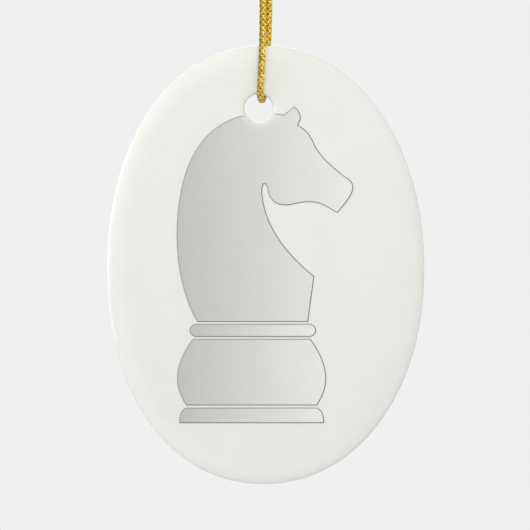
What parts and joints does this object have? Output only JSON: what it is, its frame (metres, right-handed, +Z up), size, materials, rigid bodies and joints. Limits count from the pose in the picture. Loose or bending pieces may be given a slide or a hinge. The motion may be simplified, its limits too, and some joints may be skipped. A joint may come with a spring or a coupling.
{
  "type": "porcelain hanging ornament",
  "caption": "Flat oval glazed porcelain ornament with a printed grey chess knight, hung from a knotted loop of gold braided cord through a round hole near its top.",
  "frame": {"origin": "the point where the loop of cord bears on a hook, between its two strands just under the knot", "axes": "+Z up along the hanging cord, -Y out of the printed face, +X to the right seen from the printed face"},
  "size_m": [0.0698, 0.0078, 0.1485],
  "materials": {
    "porcelain": "glossy white glaze",
    "grey_print": "grey dye under a gloss coat, darker at the left",
    "gold_cord": "metallic gold yarn braid"
  },
  "bodies": {
    "hanger": {"knot": "gold_cord", "tail_left": "gold_cord", "tail_right": "gold_cord"},
    "cord_head": {"front_strand_head": "gold_cord", "back_strand_head": "gold_cord"},
    "cord_top": {"front_strand_top": "gold_cord", "back_strand_top": "gold_cord"},
    "cord_low": {"front_strand_low": "gold_cord", "back_strand_low": "gold_cord", "hole_turn": "gold_cord"},
    "plaque": {"porcelain_plaque": "porcelain", "print_head": "grey_print", "print_collar": "grey_print", "print_barrel": "grey_print", "print_base": "grey_print"}
  },
  "joints": [
    {"name": "loop_swing", "type": "hinge", "parent": "hanger", "child": "cord_head", "pos_m": [0, 0, 0], "axis": [1, 0, 0], "range_deg": [-30, 30]},
    {"name": "loop_sway", "type": "hinge", "parent": "cord_head", "child": "cord_top", "pos_m": [0, 0, 0], "axis": [0, 1, 0], "range_deg": [-25, 25]},
    {"name": "cord_twist", "type": "hinge", "parent": "cord_top", "child": "cord_low", "pos_m": [0, 0, -0.0238], "axis": [0, 0, 1], "range_deg": [-180, 180], "stiffness_Nm_per_rad": 0.00002},
    {"name": "plaque_rock", "type": "hinge", "parent": "cord_low", "child": "plaque", "pos_m": [-0.00086, 0, -0.05036], "axis": [0, 1, 0], "range_deg": [-40, 40]}
  ]
}
